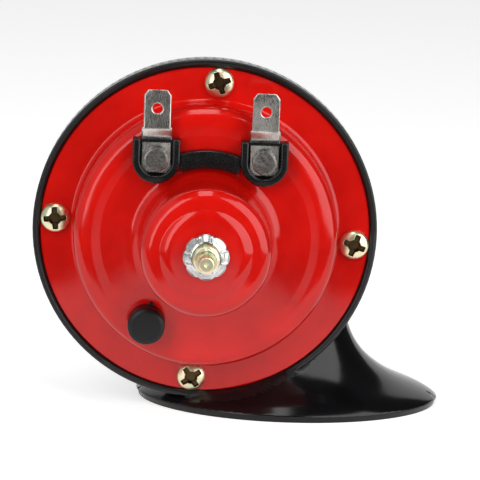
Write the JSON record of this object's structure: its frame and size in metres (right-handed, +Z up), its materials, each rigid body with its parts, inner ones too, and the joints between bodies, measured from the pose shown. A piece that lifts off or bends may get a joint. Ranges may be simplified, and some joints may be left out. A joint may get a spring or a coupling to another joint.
{
  "type": "electric car horn",
  "caption": "Snail-type electric horn: round pressed cup with a central mounting stud and two blade terminals, on a moulded trumpet whose bell opens downwards.",
  "frame": {"origin": "on the stud's axis, at the front face of the star washer, where a bracket is clamped", "axes": "-Y out along the stud towards the front, +Z up to the terminal blades, +X to the side that the bell is on"},
  "size_m": [0.1, 0.0821, 0.0852],
  "materials": {
    "red_enamel": "gloss red stove enamel on pressed steel",
    "black_plastic": "glossy black moulding with a satin rim",
    "black_insulator": "black moulded phenolic",
    "black_rubber": "soft black rubber",
    "yellow_zinc": "yellow passivated zinc on steel",
    "bright_steel": "bright zinc on steel",
    "tinned_brass": "brass with a tin finish",
    "bare_brass": "plain brass",
    "soft_iron": "turned soft iron",
    "spring_steel": "rolled spring steel",
    "copper_wire": "enamelled copper wire",
    "white_nylon": "natural nylon",
    "gasket_paper": "oiled gasket paper",
    "red_fibre": "hard fibre",
    "contact_tungsten": "tungsten contact face"
  },
  "bodies": {
    "horn_body": {"adjuster_bush": "bare_brass", "adjuster_plug": "black_rubber", "adjusting_screw": "yellow_zinc", "coil_bobbin": "white_nylon", "coil_eyelet": "tinned_brass", "coil_winding": "copper_wire", "contact_arm": "spring_steel", "contact_leaf": "spring_steel", "cup_gasket": "gasket_paper", "diaphragm": "spring_steel", "fixed_contact": "contact_tungsten", "flange_screw_bottom": "yellow_zinc", "flange_screw_left": "yellow_zinc", "flange_screw_right": "yellow_zinc", "flange_screw_top": "yellow_zinc", "housing_cup": "red_enamel", "leaf_bottom_insulator": "red_fibre", "leaf_rivet": "bare_brass", "leaf_spacer": "bare_brass", "leaf_top_insulator": "red_fibre", "left_inner_insulator": "black_insulator", "left_terminal_rivet": "tinned_brass", "left_terminal_tab": "tinned_brass", "mounting_stud": "yellow_zinc", "moving_contact": "contact_tungsten", "pole_ring": "soft_iron", "right_inner_insulator": "black_insulator", "right_terminal_rivet": "tinned_brass", "right_terminal_tab": "tinned_brass", "star_washer": "bright_steel", "terminal_insulator": "black_insulator", "trumpet_base": "black_plastic", "trumpet_gasket": "gasket_paper", "trumpet_shell": "black_plastic"},
    "armature_group": {"armature": "soft_iron", "armature_front_washer": "bright_steel", "armature_back_washer": "bright_steel"}
  },
  "joints": [
    {"name": "armature_stroke", "type": "slide", "parent": "horn_body", "child": "armature_group", "axis": [0, -1, 0], "range_m": [-0.0003, 0.0003], "stiffness_N_per_m": 2000, "deforming": ["diaphragm", "contact_leaf"]}
  ]
}
